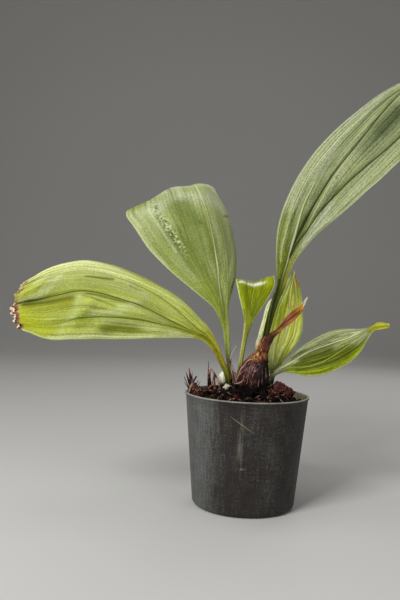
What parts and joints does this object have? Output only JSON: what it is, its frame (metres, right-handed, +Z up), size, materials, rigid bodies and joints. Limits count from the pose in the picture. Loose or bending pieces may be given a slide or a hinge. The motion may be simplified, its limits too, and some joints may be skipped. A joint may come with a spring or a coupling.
{
  "type": "potted stanhopea orchid",
  "caption": "Stanhopea orchid without flowers, broad ribbed leaves on thin stalks rising from sheathed pseudobulbs, in a plain round plastic nursery pot of bark mix.",
  "frame": {"origin": "middle of the pot's flat underside", "axes": "+X to the viewer's right, +Y away from the viewer, +Z up along the pot's axis"},
  "size_m": [0.4122, 0.2374, 0.431],
  "materials": {
    "pot_plastic": "satin",
    "bark_mix": "matte",
    "rhizome_tissue": "matte",
    "dry_sheath": "matte",
    "young_bulb_tissue": "satin",
    "dry_scale": "matte",
    "pale_stone": "matte",
    "red_bark": "matte",
    "lime_leaf": "satin",
    "grey_green_leaf": "satin",
    "bright_leaf": "satin"
  },
  "bodies": {
    "root": {"pot": "pot_plastic", "potting_mix": "bark_mix", "rhizome": "rhizome_tissue", "main_pseudobulb": "dry_sheath", "young_pseudobulb": "young_bulb_tissue", "sheath_remnant": "dry_scale", "pale_stone": "pale_stone", "bark_chunk": "red_bark", "leaf_a": "lime_leaf", "leaf_b": "grey_green_leaf", "leaf_c": "bright_leaf", "leaf_d": "grey_green_leaf", "leaf_e": "lime_leaf", "leaf_f": "bright_leaf"}
  },
  "joints": []
}
